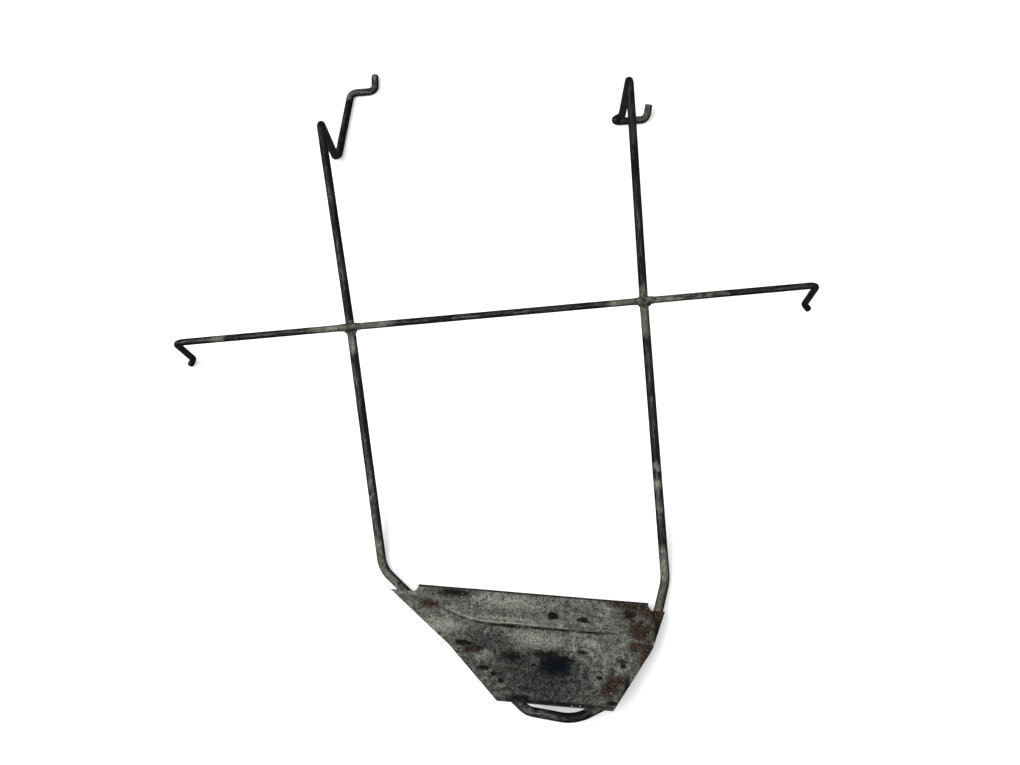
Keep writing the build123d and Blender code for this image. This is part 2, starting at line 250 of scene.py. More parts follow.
class Shape:
    """Every bend point of the bars and the tail's plane, in the carrier's frame."""

    def __init__(self, scene):
        bar, tail = scene.carrier_main_bar, scene.carrier_tail
        middle = Vector(bar.middle)
        left_bend, right_bend = Vector(bar.left_bend), Vector(bar.right_bend)
        left_head, right_head = Vector(bar.left_head), Vector(bar.right_head)
        left_crossing = crossing_point(left_bend, left_head, 1, bar.bow)
        right_crossing = crossing_point(right_bend, right_head, -1, bar.bow)
        self.across = (right_crossing - left_crossing).normalized()
        self.along = (left_head + right_head - left_bend - right_bend).normalized()
        self.normal = self.across.cross(self.along).normalized()
        self.left_bend, self.right_bend = left_bend + middle, right_bend + middle
        self.left_head, self.right_head = left_head + middle, right_head + middle
        self.left_crossing, self.right_crossing = left_crossing + middle, right_crossing + middle
        self.tail = tail_matrix(self.left_bend, self.right_bend, tail)
        places = (tail.loop_left, tail.loop_middle, tail.loop_right, tail.right_knee)
        self.loop = [self.tail @ down(p) for p in places]
        flat = self.tail.inverted() @ self.right_bend
        self.left_leg = [(0.0, 0.0), tuple(tail.loop_left)[:2]]
        self.right_leg = [(flat.x, -flat.y), tuple(tail.right_knee)[:2], tuple(tail.loop_right)[:2]]

    def main_bar_points(self, bar):
        """The long bar's bend points, from the left free end to the right one."""
        left = [self.left_head]
        for step in (bar.left_drop, bar.left_heel, bar.left_reach, bar.left_pin, bar.left_tip):
            left.append(left[-1] + Vector(step))
        right = [self.right_head]
        for step in (bar.right_drop, bar.right_heel, bar.right_pin, bar.right_tip):
            right.append(right[-1] + Vector(step))
        left_side = left[::-1] + [self.left_crossing, self.left_bend]
        return left_side + self.loop + [self.right_bend, self.right_crossing] + right

    def cross_bar_points(self, cross, bar):
        """The cross bar's bend points, from the left tip to the right one."""
        lift = self.normal * ((bar.diameter + cross.diameter) / 2 - cross.set_down)
        left_end = self.left_crossing - self.across * cross.left_overhang + lift
        right_end = self.right_crossing + self.across * cross.right_overhang + lift
        drop = self.normal * -cross.arm
        left_foot = left_end + drop + self.across * cross.lean
        right_foot = right_end + drop - self.across * cross.lean
        curl = self.normal.cross(self.across) * -cross.tip_back - self.normal * cross.tip_down
        left_tip = left_foot - self.across * cross.tip_out + curl
        right_tip = right_foot + self.across * cross.tip_out + curl
        return [left_tip, left_foot, left_end, right_end, right_foot, right_tip]


def leg_run(leg, depth):
    """The straight run of a leg that passes one depth down the tail."""
    runs = list(zip(leg, leg[1:]))
    for start, end in runs:
        if depth <= end[1]:
            return start, end
    return runs[-1]


def leg_across(leg, depth):
    """How far across a leg's middle is at one depth."""
    (x0, y0), (x1, y1) = leg_run(leg, depth)
    return x0 + (x1 - x0) * (depth - y0) / (y1 - y0)


def leg_square(leg, depth):
    """How much wider a gap square to a leg is when it is measured across the tail."""
    (x0, y0), (x1, y1) = leg_run(leg, depth)
    return math.hypot(x1 - x0, y1 - y0) / (y1 - y0)


# ---- mesh helpers ----------------------------------------------------------------------------


def finish_mesh(bm, name, sharp_degrees=38):
    """Turns a bmesh into a smooth-shaded object at the origin."""
    mesh = bpy.data.meshes.new(name)
    for face in bm.faces:
        face.smooth = True
    bm.to_mesh(mesh)
    bm.free()
    mesh.set_sharp_from_angle(angle=math.radians(sharp_degrees))
    piece = bpy.data.objects.new(name, mesh)
    bpy.context.scene.collection.objects.link(piece)
    return piece


def bake_modifiers(piece):
    """Replaces a piece's mesh by what its modifiers make of it."""
    graph = bpy.context.evaluated_depsgraph_get()
    mesh = bpy.data.meshes.new_from_object(piece.evaluated_get(graph))
    piece.modifiers.clear()
    old = piece.data
    piece.data = mesh
    bpy.data.meshes.remove(old)


def seat(piece, node_names, material):
    """Rides the piece on the carrier, in place of its CAD nodes, with its finish."""
    piece.data.materials.clear()
    piece.data.materials.append(material)
    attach(piece, "root")
    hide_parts(*node_names)


# ---- bars ------------------------------------------------------------------------------------


def ring_steps(points, radii, pitch):
    """Yields the moves that push a ring along a bent bar, each with its length."""
    for index in range(1, len(points)):
        start, end = points[index - 1], points[index]
        heading = (end - start).normalized()
        before = corner_run(points, radii, index - 1)
        after = corner_run(points, radii, index)
        straight = (end - start).length - before - after
        count = max(1, round(straight / pitch))
        for _ in range(count):
            yield Matrix.Translation(heading * straight / count), straight / count
        if index < len(points) - 1:
            yield from bend_steps(points, radii, index, pitch)


def corner_run(points, radii, index):
    """How much of a straight run a bend takes up."""
    if index in (0, len(points) - 1):
        return 0.0
    turn = (points[index] - points[index - 1]).angle(points[index + 1] - points[index])
    return radii[index - 1] * math.tan(turn / 2)


def bend_steps(points, radii, index, pitch):
    """Yields the small turns of one bend."""
    arriving = (points[index] - points[index - 1]).normalized()
    leaving = (points[index + 1] - points[index]).normalized()
    radius = radii[index - 1]
    axis = arriving.cross(leaving).normalized()
    turn = arriving.angle(leaving)
    centre = points[index] - arriving * corner_run(points, radii, index) + axis.cross(arriving) * radius
    count = max(3, round(radius * turn / pitch))
    about = Matrix.Translation(centre) @ Matrix.Rotation(turn / count, 4, axis)
    about = about @ Matrix.Translation(-centre)
    for _ in range(count):
        yield about, radius * turn / count


def extrude_ring(bm, ring, move):
    """Pushes the ring's edges on by one move and returns the new ring."""
    made = bmesh.ops.extrude_edge_only(bm, edges=ring)["geom"]
    verts = [v for v in made if isinstance(v, bmesh.types.BMVert)]
    fresh = set(verts)
    bmesh.ops.transform(bm, matrix=move, verts=verts)
    edges = {e for v in verts for e in v.link_edges if fresh.issuperset(e.verts)}
    return list(edges), verts


def cap_end(bm, ring, chamfer):
    """Closes one end of a bar and rounds its rim."""
    cap = bmesh.ops.contextual_create(bm, geom=ring)["faces"]
    rim = [e for face in cap for e in face.edges]
    bmesh.ops.bevel(
        bm,
        geom=rim,
        offset=chamfer,
        offset_type="OFFSET",
        affect="EDGES",
        segments=3,
        profile=0.5,
        material=-1,
    )


def ease(share):
    """Eases a share between 0 and 1 in and out."""
    return share * share * (3 - 2 * share)


def wear_at(point, spots):
    """How worn the paint is at a point: each spot is a place, a reach and a strength."""
    worn = 0.0
    for spot, reach, strength in spots:
        share = min(1, max(0, 1 - (point - spot).length / reach) * 1.3)
        worn = max(worn, strength * ease(share))
    return worn


def make_bar(name, points, radii, radius, spots, segments=28, pitch=0.00125, dent=0.00007):
    """A bent bar: a ring pushed along the runs and round the bends, then slightly uneven."""
    bm = bmesh.new()
    stock = bm.verts.layers.float_vector.new("stock")
    worn = bm.verts.layers.float.new("wear")
    facing = (points[1] - points[0]).to_track_quat("Z", "Y").to_matrix().to_4x4()
    at = Matrix.Translation(points[0]) @ facing
    bmesh.ops.create_circle(bm, segments=segments, radius=radius, matrix=at)
    ring, verts = list(bm.edges), list(bm.verts)
    first = ring
    rings = [(verts, at.copy(), 0.0)]
    run = 0.0
    for move, length in ring_steps(points, radii, pitch):
        ring, verts = extrude_ring(bm, ring, move)
        at = move @ at
        run += length
        rings.append((verts, at.copy(), run))
    for verts, at, run in rings:
        back = at.inverted()
        for vert in verts:
            flat = back @ vert.co
            vert[stock] = Vector((flat.x, flat.y, run))
            vert[worn] = wear_at(vert.co, spots)
    for verts, at, run in rings[2:-2]:
        middle = at.translation
        for vert in verts:
            rough = noise.noise(vert[stock] * 140) + 0.5 * noise.noise(vert[stock] * 420)
            vert.co += (vert.co - middle).normalized() * rough * dent
    cap_end(bm, first, END_CHAMFER)
    cap_end(bm, ring, END_CHAMFER)
    bmesh.ops.recalc_face_normals(bm, faces=bm.faces)
    return finish_mesh(bm, name)


def main_bar_spots(shape):
    """Where the long bar's paint is worn: the tail, the crossings and the hooks' ends."""
    down_left = (shape.left_bend - shape.left_crossing).normalized()
    down_right = (shape.right_bend - shape.right_crossing).normalized()
    spots = [
        (shape.left_crossing + down_left * 12 * MM, 19 * MM, 1.0),
        (shape.right_crossing + down_right * 14 * MM, 34 * MM, 0.8),
        (shape.right_crossing - down_right * 5 * MM, 21 * MM, 0.7),
        (shape.left_bend, 60 * MM, 0.6),
        (shape.right_bend + down_right * 6 * MM, 62 * MM, 0.75),
        (shape.right_bend - down_right * 98 * MM, 9 * MM, 0.68),
        (shape.right_bend - down_right * 82 * MM, 11 * MM, 0.72),
        (shape.right_bend - down_right * 64 * MM, 17 * MM, 0.45),
        (shape.left_bend - down_left * 75 * MM, 50 * MM, 0.4),
        (shape.loop[3], 60 * MM, 0.75),
        (shape.loop[0], 34 * MM, 0.42),
        (shape.loop[2], 34 * MM, 0.45),
    ]
    hooks = shape.main_bar_points(bpy.context.scene.carrier_main_bar)
    spots += [(p, 28 * MM, 0.48) for p in hooks[:3] + hooks[-3:]]
    return spots


def cross_bar_spots(shape):
    """Where the cross bar's paint is worn."""
    lift = shape.normal * 7 * MM
    spots = [(p + lift, 58 * MM, 0.85) for p in (shape.left_crossing, shape.right_crossing)]
    middle = (shape.left_crossing + shape.right_crossing) / 2 + lift
    spots.append((middle, 115 * MM, 0.24))
    spots.append((shape.left_crossing - shape.across * 121 * MM + lift, 11 * MM, 0.85))
    spots.append((shape.right_crossing + shape.across * 60 * MM + lift, 30 * MM, 0.4))
    return spots


# ---- plate -----------------------------------------------------------------------------------


def side_at(ear, corner, bottom, plate, depth):
    """How far across a side edge of the plate is at one depth."""
    corner_across, corner_depth = corner[0], corner[1]
    if depth <= corner_depth:
        share = (depth - plate.top) / (corner_depth - plate.top)
        return ear + (corner_across - ear) * share
    share = (depth - corner_depth) / (plate.bottom - corner_depth)
    return corner_across + (bottom - corner_across) * share


def band_depth(plate, shape, across, depth):
    """How far inside the band's edge one place on the sheet is."""
    left = (across - leg_across(shape.left_leg, depth)) / leg_square(shape.left_leg, depth)
    right = (leg_across(shape.right_leg, depth) - across) / leg_square(shape.right_leg, depth)
    sides = min(left, right) - plate.band_gap
    lower = plate.band_bottom - depth
    radius = plate.band_radius
    return radius - math.hypot(max(radius - sides, 0), max(radius - lower, 0))


def band_height(plate, shape, across, depth):
    """How far the pressed band lifts the sheet at one place."""
    inside = band_depth(plate, shape, across, depth)
    return plate.band_step * ease(min(1, max(0, 0.5 + inside / BAND_SLOPE)))


def sheet_ripple(across, depth):
    """The gentle unevenness of the beaten sheet."""
    spot = Vector((across, depth, 0))
    return noise.noise(spot * 24) * 0.32 * MM + noise.noise(spot * 95) * 0.09 * MM


def make_sheet(bm, plate, shape, face):
    """The flat of the plate as a grid fitted between its side edges, with its band."""
    columns = round((plate.right_ear - plate.left_ear) / plate.cell)
    rows = round((plate.bottom - plate.top) / plate.cell)
    bmesh.ops.create_grid(bm, x_segments=columns, y_segments=rows, size=1)
    for vert in bm.verts:
        depth = plate.top + (1 - vert.co.y) / 2 * (plate.bottom - plate.top)
        left = side_at(plate.left_ear, plate.left_corner, plate.bottom_left, plate, depth)
        right = side_at(plate.right_ear, plate.right_corner, plate.bottom_right, plate, depth)
        across = left + (right - left) * (vert.co.x + 1) / 2
        height = face + band_height(plate, shape, across, depth)
        vert.co = Vector((across, -depth, height))


def grow_band(bm, plate, shape, face):
    """Carries the band past the ears, folds it over and down into the lip."""
    fold = plate.lip_edge + plate.lip_radius
    left = leg_across(shape.left_leg, fold) + plate.band_gap * leg_square(shape.left_leg, fold)
    right = leg_across(shape.right_leg, fold) - plate.band_gap * leg_square(shape.right_leg, fold)
    flare = plate.notch_radius
    ring = [
        e
        for e in bm.edges
        if e.is_boundary
        and all(abs(v.co.y + plate.top) < 1e-6 and left - flare < v.co.x < right + flare for v in e.verts)
    ]
    low = min(v.co.x for e in ring for v in e.verts)
    high = max(v.co.x for e in ring for v in e.verts)
    was_left, was_width = low, high - low
    for row in range(1, BAND_ROWS + 1):
        share = row / BAND_ROWS
        ring, verts = extrude_ring(bm, ring, Matrix.Identity(4))
        depth = plate.top + (fold - plate.top) * share
        curve = math.sin(share * math.pi / 2)
        row_left, row_right = low + (left - low) * curve, high + (right - high) * curve
        for vert in verts:
            across = row_left + (row_right - row_left) * (vert.co.x - was_left) / was_width
            lift = band_height(plate, shape, across, depth)
            vert.co = Vector((across, -depth, face + lift + (plate.band_step - lift) * share))
        was_left, was_width = row_left, row_right - row_left
    centre = Vector((0, -fold, face + plate.band_step - plate.lip_radius))
    step = Matrix.Rotation(-math.pi / 2 / FOLD_STEPS, 4, "X")
    turn = Matrix.Translation(centre) @ step @ Matrix.Translation(-centre)
    for _ in range(FOLD_STEPS):
        ring, verts = extrude_ring(bm, ring, turn)
    fall = (plate.lip_depth - plate.lip_radius) / LIP_ROWS
    for _ in range(LIP_ROWS):
        ring, verts = extrude_ring(bm, ring, Matrix.Translation((0, 0, -fall)))


def make_plate(plate, shape, bar):
    """The pressed plate: a rippled sheet with a raised band and a folded lip."""
    face = bar.diameter / 2 + plate.thickness
    bm = bmesh.new()
    make_sheet(bm, plate, shape, face)
    grow_band(bm, plate, shape, face)
    spot = bm.verts.layers.float_vector.new("sheet")
    crease = bm.verts.layers.float.new("crease")
    fold = plate.lip_edge + plate.lip_radius
    for vert in bm.verts:
        vert[spot] = Vector((vert.co.x, -vert.co.y, vert.co.z))
        vert[crease] = band_depth(plate, shape, vert.co.x, max(-vert.co.y, fold))
    for vert in bm.verts:
        vert.co.z += sheet_ripple(vert.co.x, -vert.co.y)
    bmesh.ops.recalc_face_normals(bm, faces=bm.faces)
    if sum(f.normal.z for f in bm.faces) < 0:
        bmesh.ops.reverse_faces(bm, faces=bm.faces)
    bm.transform(shape.tail)
    piece = finish_mesh(bm, "pressed_plate")
    solid = piece.modifiers.new("sheet", "SOLIDIFY")
    solid.thickness = plate.thickness
    solid.offset = -1
    solid.use_even_offset = True
    rim = piece.modifiers.new("rim", "BEVEL")
    rim.width = RIM_CHAMFER
    rim.segments = 2
    rim.limit_method = "ANGLE"
    rim.angle_limit = math.radians(50)
    bake_modifiers(piece)
    return piece


# ---- welds -----------------------------------------------------------------------------------


def collar(bm, start, end, thick, thin):
    """A short closed cone between two points, thicker at its start."""
    facing = (end - start).to_track_quat("Z", "Y").to_matrix().to_4x4()
    at = Matrix.Translation((start + end) / 2) @ facing
    length = (end - start).length
    bmesh.ops.create_cone(
        bm, cap_ends=True, segments=32, radius1=thick, radius2=thin, depth=length, matrix=at
    )


def make_cross_weld(name, crossing, upright, shape, weld, bar, cross, seed):
    """Weld metal flowed into the corners of a crossing and thinly along both bars."""
    bar_radius, cross_radius = bar.diameter / 2, cross.diameter / 2
    over = crossing + shape.normal * (bar_radius + cross_radius - cross.set_down)
    seam = crossing + shape.normal * (bar_radius - cross.set_down)
    bm = bmesh.new()
    for end in (-1, 1):
        run = upright * end * weld.spread * 0.75
        collar(bm, crossing, crossing + run, bar_radius + weld.skin, bar_radius)
        run = shape.across * end * weld.spread
        collar(bm, over, over + run, cross_radius + weld.skin * 2.4, cross_radius)
        for side in (-1, 1):
            web = weld.web * (1 + 0.2 * noise.noise(Vector((side, end, seed)) * 3.7))
            reach = shape.across * side * (bar_radius - 0.1 * MM) + upright * end * (cross_radius - 0.4 * MM)
            facing = Matrix.Translation(seam + reach) @ Matrix.Diagonal((1.15, 1, 1, 1))
            bmesh.ops.create_icosphere(bm, subdivisions=3, radius=web, matrix=facing)
    piece = finish_mesh(bm, name)
    remesh = piece.modifiers.new("flow", "REMESH")
    remesh.mode = "VOXEL"
    remesh.voxel_size = weld.voxel
    remesh.use_smooth_shade = True
    bake_modifiers(piece)
    bm = bmesh.new()
    bm.from_mesh(piece.data)
    for _ in range(FLOW_ROUNDS):
        bmesh.ops.smooth_vert(
            bm, verts=bm.verts, factor=0.5, use_axis_x=True, use_axis_y=True, use_axis_z=True
        )
    bm.normal_update()
    for vert in bm.verts:
        spot = vert.co + Vector((seed, 0, 0))
        rough = noise.noise(spot * 260) * 0.24 + noise.noise(spot * 780) * 0.09
        vert.co += vert.normal * rough * MM
    bm.to_mesh(piece.data)
    bm.free()
    return piece


def make_plug_welds(name, leg, depths, widths, shape, weld, plate, bar):
    """Uneven weld buttons in a row down one leg, each a low dome through the sheet."""
    face = bar.diameter / 2 + plate.thickness
    bm = bmesh.new()
    for depth, width in zip(depths, widths):
        across = leg_across(leg, depth)
        lift = band_height(plate, shape, across, depth) + sheet_ripple(across, depth)
        middle = Vector((across, -depth, face + lift))
        made = bmesh.ops.create_icosphere(bm, subdivisions=5, radius=1)["verts"]
        for vert in made:
            flat = Vector((vert.co.x, vert.co.y, 0))
            edge = 1 + 0.16 * noise.noise((flat + middle * 90) * 1.9)
            low = vert.co.z < 0
            height = vert.co.z * (plate.thickness + 0.6 * MM if low else weld.rise)
            crater = max(0, 1 - flat.length * 2.1) * 0.55 * MM if not low else 0
            lumps = noise.noise((flat + middle * 60) * 5.5) * 0.24 * MM if not low else 0
            radius = weld.button / 2 * width * (0.72 if low else 1) * edge
            vert.co = middle + Vector((flat.x * radius, flat.y * radius, height - crater + lumps))
    spot = bm.verts.layers.float_vector.new("sheet")
    crease = bm.verts.layers.float.new("crease")
    for vert in bm.verts:
        vert[spot] = Vector((vert.co.x, -vert.co.y, vert.co.z))
        vert[crease] = -plate.band_gap
    bmesh.ops.recalc_face_normals(bm, faces=bm.faces)
    bm.transform(shape.tail)
    return finish_mesh(bm, name, sharp_degrees=80)


# ---- shader helpers --------------------------------------------------------------------------


def put(tree, kind, props=None, inputs=None):
    """Adds a node, sets its properties and sets or links its inputs."""
    node = tree.nodes.new(kind)
    for key, value in (props or {}).items():
        setattr(node, key, value)
    for key, value in (inputs or {}).items():
        if isinstance(value, bpy.types.NodeSocket):
            tree.links.new(value, node.inputs[key])
        else:
            node.inputs[key].default_value = value
    return node


def work(tree, operation, first, second=0.0):
    """One step of arithmetic."""
    return put(tree, "ShaderNodeMath", {"operation": operation}, {0: first, 1: second}).outputs[0]


def times(tree, first, second):
    """The product of two values."""
    return work(tree, "MULTIPLY", first, second)


def scaled(tree, value, factor, base):
    """A value times a factor, on top of a base."""
    inputs = {0: value, 1: factor, 2: base}
    return put(tree, "ShaderNodeMath", {"operation": "MULTIPLY_ADD"}, inputs).outputs[0]


def vector_work(tree, operation, *vectors):
    """One step of arithmetic on vectors; gives the step's outputs."""
    props = {"operation": operation}
    return put(tree, "ShaderNodeVectorMath", props, dict(enumerate(vectors))).outputs


def ramp(tree, value, low, high, start=0.0, end=1.0):
    """Maps a value smoothly from one range to another."""
    inputs = {"Value": value, "From Min": low, "From Max": high, "To Min": start, "To Max": end}
    return put(tree, "ShaderNodeMapRange", {"interpolation_type": "SMOOTHSTEP"}, inputs).outputs["Result"]


def colour(value):
    """A colour as a shader socket holds it."""
    return (*value, 1.0)


def mix(tree, factor, first, second):
    """Mixes two colours, each of them a socket or a setting."""
    pair = [c if isinstance(c, bpy.types.NodeSocket) else colour(c) for c in (first, second)]
    inputs = {0: factor, 6: pair[0], 7: pair[1]}
    return put(tree, "ShaderNodeMix", {"data_type": "RGBA"}, inputs).outputs[2]


def grain(tree, vector, scale, detail=4.0, roughness=0.55, stretch=None):
    """A noise value, on stretched coordinates if a stretch is given."""
    if stretch:
        vector = put(tree, "ShaderNodeMapping", None, {"Vector": vector, "Scale": stretch}).outputs["Vector"]
    inputs = {"Vector": vector, "Scale": scale, "Detail": detail, "Roughness": roughness}
    return put(tree, "ShaderNodeTexNoise", None, inputs).outputs["Fac"]


def make_group(name, sockets_in, sockets_out):
    """An empty shader group, the sockets that it is given and the sockets of its result."""
    group = bpy.data.node_groups.new(name, "ShaderNodeTree")
    for label, kind, default in sockets_in:
        socket = group.interface.new_socket(label, in_out="INPUT", socket_type=kind)
        if default is not None:
            socket.default_value = default
    for label, kind in sockets_out:
        group.interface.new_socket(label, in_out="OUTPUT", socket_type=kind)
    given, result = group.nodes.new("NodeGroupInput"), group.nodes.new("NodeGroupOutput")
    return group, given.outputs, result.inputs


def use(tree, group_name, inputs):
    """Places a shader group in a tree."""
    return put(tree, "ShaderNodeGroup", {"node_tree": bpy.data.node_groups[group_name]}, inputs).outputs


VALUE, VECTOR, COLOUR = "NodeSocketFloat", "NodeSocketVector", "NodeSocketColor"


def build_blot_group():
    """A soft ragged ellipse on the sheet: stains, pits, scuffs and rust marks."""
    sockets = [("Vector", VECTOR, None), ("Centre", VECTOR, None), ("Spread", VECTOR, None)]
    sockets += [("Softness", VALUE, 0.5), ("Raggedness", VALUE, 0.5)]
    tree, given, result = make_group("Blot", sockets, [("Mask", VALUE)])
    shift = vector_work(tree, "SUBTRACT", given["Vector"], given["Centre"])[0]
    share = vector_work(tree, "DIVIDE", shift, given["Spread"])[0]
    length = vector_work(tree, "LENGTH", share)["Value"]
    fine = work(tree, "SUBTRACT", grain(tree, given["Vector"], 260, 5, 0.65), 0.5)
    fine = times(tree, fine, given["Raggedness"])
    fine = times(tree, fine, 3.2)
    far = work(tree, "ADD", length, fine)
    low = work(tree, "SUBTRACT", 1.0, given["Softness"])
    high = work(tree, "ADD", 1.0, given["Softness"])
    mask = ramp(tree, far, low, high, 1.0, 0.0)
    tree.links.new(mask, result["Mask"])


def build_chip_group():
    """Small scattered chips, more of them where the surface is worn."""
    sockets = [("Vector", VECTOR, None), ("Scale", VALUE, 300.0), ("Amount", VALUE, 0.2)]
    tree, given, result = make_group("Chips", sockets, [("Mask", VALUE)])
    warped = {"Vector": given["Vector"], "Scale": 700.0, "Detail": 2.0}
    warp = put(tree, "ShaderNodeTexNoise", None, warped).outputs["Color"]
    reach = (1.6 * MM, 1.6 * MM, 1.6 * MM)
    bent = vector_work(tree, "MULTIPLY_ADD", warp, reach, given["Vector"])[0]
    grid = {"Vector": bent, "Scale": given["Scale"]}
    cells = put(tree, "ShaderNodeTexVoronoi", {"feature": "F1"}, grid).outputs
    chance = put(tree, "ShaderNodeSeparateColor", None, {"Color": cells["Color"]}).outputs[0]
    radius = work(tree, "SUBTRACT", given["Amount"], chance)
    inside = work(tree, "SUBTRACT", radius, cells["Distance"])
    mask = ramp(tree, inside, -0.02, 0.05)
    tree.links.new(mask, result["Mask"])


def build_scuff_group():
    """Rubbed patches: solid where the wear is full, broken up where it is slight."""
    sockets = [("Vector", VECTOR, None), ("Wear", VALUE, 0.3), ("Scale", VALUE, 90.0), ("Edge", VALUE, 0.06)]
    tree, given, result = make_group("Scuff", sockets, [("Mask", VALUE)])
    coarse = grain(tree, given["Vector"], given["Scale"], 5.0, 0.62)
    limit = ramp(tree, given["Wear"], 0.0, 1.0, 0.72, 0.22)
    over = work(tree, "SUBTRACT", coarse, limit)
    low = times(tree, given["Edge"], -1.0)
    mask = ramp(tree, over, low, given["Edge"])
    tree.links.new(mask, result["Mask"])


def build_rust_group():
    """Crusty brown tones between old dark rust and fresh rust."""
    sockets = [("Vector", VECTOR, None), ("Dark", COLOUR, None), ("Fresh", COLOUR, None)]
    tree, given, result = make_group("Rust tones", sockets, [("Color", COLOUR), ("Height", VALUE)])
    crust = grain(tree, given["Vector"], 420, 6, 0.7)
    tone = mix(tree, ramp(tree, crust, 0.46, 0.66), given["Dark"], given["Fresh"])
    spots = grain(tree, given["Vector"], 1100, 3, 0.6)
    tone = mix(tree, ramp(tree, spots, 0.57, 0.66, 0.0, 0.8), tone, (0.23, 0.2, 0.15))
    tree.links.new(tone, result["Color"])
    tree.links.new(crust, result["Height"])


def rust_tones(tree, vector, finish):
    """The rust's colour and height on one piece's coordinates."""
    inputs = {"Vector": vector, "Dark": colour(finish.rust_dark), "Fresh": colour(finish.rust)}
    return use(tree, "Rust tones", inputs)


def new_material(name):
    """A material with only its Principled shader, and that shader."""
    material = bpy.data.materials.new(name)
    material.use_nodes = True
    shader = material.node_tree.nodes["Principled BSDF"]
    return material, material.node_tree, shader


def lay_bump(tree, shader, layers):
    """Feeds the shader a normal bumped by several heights, each with its depth in metres."""
    normal = None
    for height, depth in layers:
        inputs = {"Height": height, "Distance": depth, "Strength": 1.0}
        if normal:
            inputs["Normal"] = normal
        normal = put(tree, "ShaderNodeBump", None, inputs).outputs["Normal"]
    tree.links.new(normal, shader.inputs["Normal"])


def attribute(tree, name):
    """Reads one of the piece's own attributes."""
    return put(tree, "ShaderNodeAttribute", {"attribute_name": name, "attribute_type": "GEOMETRY"}).outputs


def make_bar_paint(finish):
    """Thin black paint on round bar, hazed, scuffed along its length and chipped, with dust and a painted
    highlight along its lit side and painted shade on bare scuffs turned away from the light.
    """
    material, tree, shader = new_material("worn_bar_paint")
    stock = attribute(tree, "stock")["Vector"]
    wear = attribute(tree, "wear")["Fac"]
    haze = grain(tree, stock, 60, 4, 0.6, (1, 1, 0.35))
    paint = mix(tree, ramp(tree, haze, 0.42, 0.7), finish.bar_black, finish.bar_haze)
    streak = grain(tree, stock, 460, 4, 0.6, (1, 1, 0.12))
    # painted highlight mixed with dust: grey streaks lighten the side of each bar that faces the light
    normal = put(tree, "ShaderNodeNewGeometry").outputs["Normal"]
    lit_side = vector_work(tree, "DOT_PRODUCT", normal, LIT_AND_WORN_SIDE)["Value"]
    crown = ramp(tree, lit_side, 0.74, 0.99)
    scratch = grain(tree, stock, 1000, 4, 0.7, (1, 1, 0.22))
    drift = ramp(tree, grain(tree, stock, 26, 3, 0.6, (0.3, 0.3, 1)), 0.4, 0.6, 0.35, 1)
    dust_and_sheen = times(tree, ramp(tree, streak, 0.4, 0.62), ramp(tree, scratch, 0.42, 0.6, 0.1, 1))
    dust_and_sheen = times(tree, times(tree, dust_and_sheen, crown), drift)
    spot = put(tree, "ShaderNodeTexCoord").outputs["Object"]
    height = put(tree, "ShaderNodeSeparateXYZ", None, {0: spot}).outputs[2]
    dust_and_sheen = times(tree, dust_and_sheen, ramp(tree, height, 76 * MM, 110 * MM, 1, 0.4))
    paint = mix(tree, dust_and_sheen, paint, finish.bar_dust_and_sheen)
    stretched = put(tree, "ShaderNodeMapping", None, {"Vector": stock, "Scale": (1, 1, 0.4)}).outputs[0]
    scuff = use(tree, "Scuff", {"Vector": stretched, "Wear": wear, "Scale": 260.0, "Edge": 0.13})["Mask"]
    fine = grain(tree, stock, 900, 4, 0.6)
    bare = mix(tree, ramp(tree, fine, 0.44, 0.62), finish.bare_grey, finish.bare_light)
    broad = grain(tree, stock, 170, 4, 0.6, (1, 1, 0.4))
    bare = mix(tree, ramp(tree, broad, 0.44, 0.58, 0.55, 0), bare, finish.bare_shade)
    # painted shade: bare scuffs darken to the black paint's colour on the side turned away from the light
    bare = mix(tree, ramp(tree, lit_side, 0.35, 0.93, 0.93, 0), bare, finish.bar_black)
    tone = mix(tree, scuff, paint, bare)
    more = scaled(tree, wear, 0.22, 0.05)
    chips = use(tree, "Chips", {"Vector": stock, "Scale": 330.0, "Amount": more})["Mask"]
    tone = mix(tree, times(tree, chips, 0.85), tone, finish.chip)
    rust = rust_tones(tree, stock, finish)
    patches = ramp(tree, grain(tree, stock, 75, 5, 0.6), 0.6, 0.68, 0, 0.6)
    tone = mix(tree, patches, tone, rust["Color"])
    tree.links.new(tone, shader.inputs["Base Color"])
    rough = scaled(tree, scuff, 0.24, 0.36)
    rough = work(tree, "ADD", rough, ramp(tree, haze, 0.4, 0.7, 0, 0.14))
    tree.links.new(rough, shader.inputs["Roughness"])
    shader.inputs["Specular IOR Level"].default_value = 0.07
    lay_bump(tree, shader, [(fine, 0.00005), (scuff, -0.00007), (chips, -0.00008), (rust["Height"], 0.00006)])
    return material


